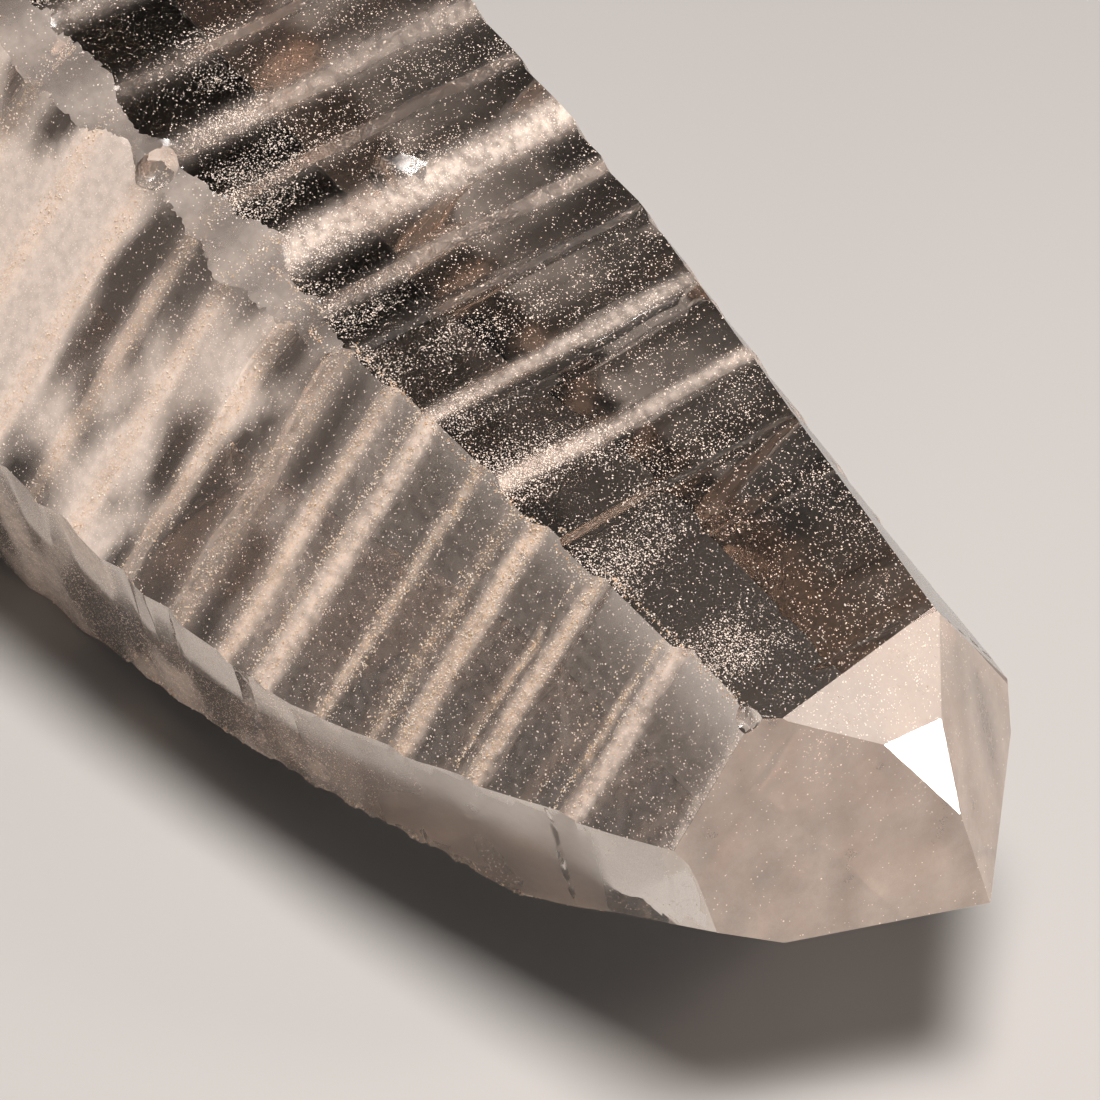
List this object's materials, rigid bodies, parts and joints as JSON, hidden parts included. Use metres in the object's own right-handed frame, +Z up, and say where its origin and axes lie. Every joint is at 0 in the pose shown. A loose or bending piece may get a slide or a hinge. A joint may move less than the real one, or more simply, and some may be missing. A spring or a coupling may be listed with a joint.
{
  "type": "lemurian quartz point",
  "caption": "Clear tapering quartz crystal with a faceted tip, horizontal growth ledges down its sides, a chipped ridge and a broken foot, lying on one long face.",
  "frame": {"origin": "middle of the bounding box, on the surface the crystal lies on", "axes": "+X along the crystal towards its tip, +Z up from the face it lies on"},
  "size_m": [0.0728, 0.0302, 0.0231],
  "materials": {
    "clear_quartz": "natural crystal faces, glossy, with frosted growth ledges"
  },
  "bodies": {
    "root": {"quartz_point": "clear_quartz"}
  },
  "joints": []
}
